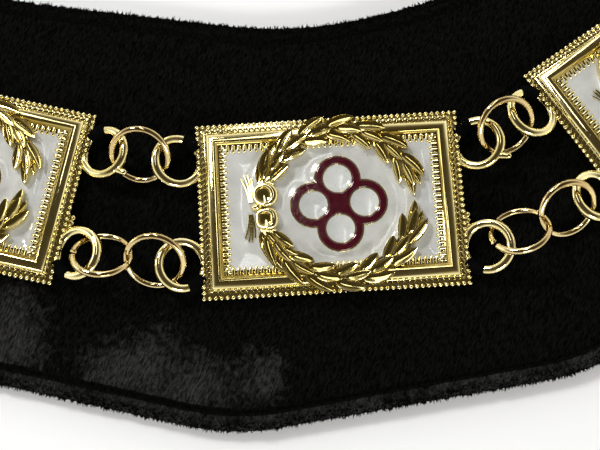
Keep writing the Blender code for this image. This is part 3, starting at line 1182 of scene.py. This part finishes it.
def velvet_look(name):
    look = Look(name, (0.006, 0.006, 0.007), 0.0, 0.9)
    look.set("Sheen Weight", 0.006)
    look.set("Sheen Roughness", 0.30)
    look.set("Sheen Tint", (0.85, 0.85, 0.85, 1.0))
    look.set("Specular IOR Level", 0.0)
    # Base colour from the painted sheen and shade on the velvet: lighter where the pile is pressed
    # flat and on the rolled rim, darker in the stitch channels
    sheen_shade_node = look.nodes.new("ShaderNodeAttribute")
    sheen_shade_node.attribute_name = "painted_sheen_shade"
    tufts = look.spread(look.noise(420.0, 6.0, 1.0), -0.45, 0.45)
    sheen_shade_tone = look.ramp(
        look.total(sheen_shade_node.outputs["Fac"], tufts),
        ((0.10, (0.0036, 0.0036, 0.0034)), (0.45, (0.010, 0.010, 0.010)),
         (0.95, (0.021, 0.021, 0.021))))
    grain = look.ramp(
        look.noise(2600.0, 4.0, 0.4, 4.0), ((0.36, (0.30, 0.30, 0.30)), (0.64, (1.55, 1.55, 1.55))))
    nap = look.bump(look.noise(900.0, 6.0, 1.0, 2.5), 0.35, 0.0008)
    return look.feed_shader(
        look.product(sheen_shade_tone, grain),
        look.spread(look.noise(240.0), 0.80, 1.0),
        look.bump(look.noise(2600.0, 4.0, 1.0), 0.6, 0.0004, nap))


def thread_look():
    look = Look("black thread", (0.003, 0.003, 0.003), 0.0, 0.8)
    look.set("Specular IOR Level", 0.03)
    tone = look.ramp(
        look.noise(900.0), ((0.3, (0.0005, 0.0006, 0.0006)), (0.7, (0.0022, 0.0024, 0.0024))))
    return look.feed_shader(
        tone,
        look.spread(look.noise(1200.0), 0.65, 0.9),
        look.bump(look.noise(4000.0), 0.6, 0.0002))


def floor_look():
    look = Look("pale floor", (0.86, 0.86, 0.87), 0.0, 0.6)
    tone = look.ramp(look.noise(6.0), ((0.3, (0.925, 0.935, 0.955)), (0.7, (0.95, 0.96, 0.98))))
    look.join(tone, look.shader.inputs["Base Color"])
    return look.material


# Putting the object together


def build_object():
    """Makes every piece and returns the placement of the plaque that the camera looks at."""
    headings, ends, starts = arm_route()
    outer_line = rounded(edge_corners(headings, ends, True), OUTER_CORNER_RADIUS, 4)
    middle = (min(p.y for p in outer_line) + max(p.y for p in outer_line)) / 2
    centring = Vector((0.0, -middle, 0.0))

    gilt = gilt_look("gilt casting", (0.74, 0.63, 0.24), (0.90, 0.80, 0.38), 0.35)
    ring_gilt = gilt_look("gilt wire", (0.54, 0.40, 0.16), (0.78, 0.64, 0.29), 0.15)
    velvet = velvet_look("black velvet")
    thread = thread_look()

    plaque = gilt_plaque()
    plaque.materials.append(gilt)
    field = white_field()
    field.materials.append(white_look())
    badge = emblem(wine_look(), gilt)
    kinds = (
        ("plaque", plaque, "gilt_casting"),
        ("white_field", field, "white_enamel"),
        ("emblem", badge, "wine_enamel"),
    )
    stations = [("front", Vector(), 0.0, False)]
    for number, (angle, start) in enumerate(zip(headings[1:], starts), start=1):
        place = start + PLAQUE_PITCH / 2 * heading(angle)
        stations.append((f"right_{number}", place, angle, False))
        stations.append((f"left_{number}", other_arm(place), -angle, True))
    wraps = Shape()
    for kind, mesh, slot in kinds:
        left_mesh = mirrored(mesh)
        for name, place, angle, left in stations:
            matrix = standing(place + centring, angle)
            dress(kind, name, left_mesh if left else mesh, matrix)
    for name, place, angle, left in stations:
        thread_wraps(wraps, standing(place + centring, angle))
    ties = wraps.mesh("thread_ties")
    ties.materials.append(thread)
    piece("thread_ties", ties, Matrix.Identity(4), [])

    single = ring_mesh("inner_ring", ((0.0, 1, -40.0, 0.6),))
    pair = ring_mesh(
        "outer_rings", ((-PAIR_SPACING / 2, -1, 187.0, 12.0), (PAIR_SPACING / 2, 1, -40.0, 0.6)))
    for mesh in (single, pair):
        mesh.materials.append(ring_gilt)
    pair_left = mirrored(pair)
    for number, rows in enumerate(loop_rows(headings, ends, starts), start=1):
        links = (("inner_link", single, single), ("outer_links", pair, pair_left))
        for (kind, mesh, left_mesh), (place, angle) in zip(links, rows):
            matrix = standing(place + centring, angle)
            if number == len(ends):
                dress(kind, "back", mesh, matrix)
                continue
            dress(kind, f"right_{number}", mesh, matrix)
            matrix = standing(other_arm(place) + centring, -angle)
            dress(kind, f"left_{number}", left_mesh, matrix)

    pairs = collar_lines(headings, ends, centring)
    collar_mesh = velvet_shape(pairs).mesh("velvet_pad", 80.0)
    seen = next(row for row in stations if row[0] == SEEN_PLAQUE)
    seen_matrix = standing(seen[1] + centring, seen[2])
    mark_painted_sheen_shade(collar_mesh, len(pairs), seen_matrix)
    collar_mesh.materials.append(velvet)
    collar = piece("velvet_pad", collar_mesh, Matrix.Identity(4), ["velvet_collar"])
    seams = stitches(pairs).mesh("topstitching")
    seams.materials.append(thread)
    piece("topstitching", seams, Matrix.Identity(4), [])
    fibres = pile(pairs).mesh("velvet_edge_pile", 180.0)
    fibres.materials.append(velvet)
    piece("velvet_edge_pile", fibres, Matrix.Identity(4), [])
    return seen_matrix


# Floor, lights and camera

# The camera and the lights are placed in the frame of the plaque in view
SEEN_PLAQUE = "right_3"
CAMERA_PLACE = Vector((-0.00808, -0.05004, 0.24056))
CAMERA_RIGHT = Vector((0.9981, -0.0603, -0.0110))
CAMERA_UP = Vector((0.0613, 0.9810, 0.1843))
CAMERA_LENS = 60.0
SENSOR_WIDTH = 36.0
RIM_TOP = 0.0034
FLOOR_REACH = 6.0
LIGHTS = (
    # name, place, distance along that the aim is off, size across and up, power in watts
    ("key_light", Vector((-0.40, 0.45, 0.66)), 0.0, (0.14, 0.14), 3.5),
    ("strip_light", Vector((0.0, 0.42, 0.42)), -0.063, (0.06, 0.85), 0.75),
    ("side_light", Vector((-0.75, 0.20, 0.28)), 0.0, (0.16, 0.34), 0.5),
    ("low_light", Vector((0.15, -0.70, 0.50)), 0.0, (0.40, 0.14), 2.8),
)
# Brightness of the room by height, from straight down at 0 to overhead at 1
ROOM_TONES = (
    (0.00, (0.25, 0.24, 0.22)),
    (0.50, (1.15, 1.14, 1.11)),
    (0.62, (1.30, 1.29, 1.26)),
    (0.72, (1.05, 1.03, 0.98)),
    (0.80, (0.42, 0.39, 0.33)),
    (0.88, (0.10, 0.08, 0.05)),
    (1.00, (0.06, 0.05, 0.03)),
)


def set_stage(seen):
    """seen is the placement of the plaque that the camera looks at."""
    floor_mesh = bpy.data.meshes.new("floor")
    floor_mesh.from_pydata(
        [(x * FLOOR_REACH, y * FLOOR_REACH, 0.0) for x, y in CORNERS],
        [], [(0, 1, 2, 3)])
    floor_mesh.materials.append(floor_look())
    floor = linked("floor", floor_mesh)

    data = bpy.data.cameras.new("camera")
    data.lens = CAMERA_LENS
    data.sensor_width = SENSOR_WIDTH
    data.clip_start = 0.01
    camera = linked("camera", data)
    right = CAMERA_RIGHT.normalized()
    back = right.cross(CAMERA_UP).normalized()
    local = axes_matrix(right, back.cross(right), CAMERA_PLACE + UP * RIM_TOP)
    camera.matrix_world = seen @ local
    bpy.context.scene.camera = camera

    for name, place, shift, size, power in LIGHTS:
        light = bpy.data.lights.new(name, "AREA")
        light.shape = "RECTANGLE"
        light.size, light.size_y = size
        light.energy = power
        lamp = linked(name, light)
        level = UP.cross(place).normalized()
        place_shifted = place + Vector((shift, 0.0, 0.0))
        lamp.matrix_world = seen @ axes_matrix(
            level, place.normalized().cross(level), place_shifted)

    world = bpy.data.worlds.new("studio")
    bpy.context.scene.world = world
    world.use_nodes = True
    nodes = world.node_tree.nodes
    links = world.node_tree.links
    coordinates = nodes.new("ShaderNodeTexCoord")
    parts = nodes.new("ShaderNodeSeparateXYZ")
    height = nodes.new("ShaderNodeMapRange")
    height.inputs["From Min"].default_value = -1.0
    band = nodes.new("ShaderNodeValToRGB")
    set_stops(band.color_ramp, ROOM_TONES)
    links.new(coordinates.outputs["Generated"], parts.inputs["Vector"])
    links.new(parts.outputs["Z"], height.inputs["Value"])
    links.new(height.outputs["Result"], band.inputs["Fac"])
    links.new(band.outputs["Color"], nodes["Background"].inputs["Color"])
    nodes["Background"].inputs["Strength"].default_value = 1.0
    bpy.context.scene.view_settings.view_transform = "Standard"


set_stage(build_object())
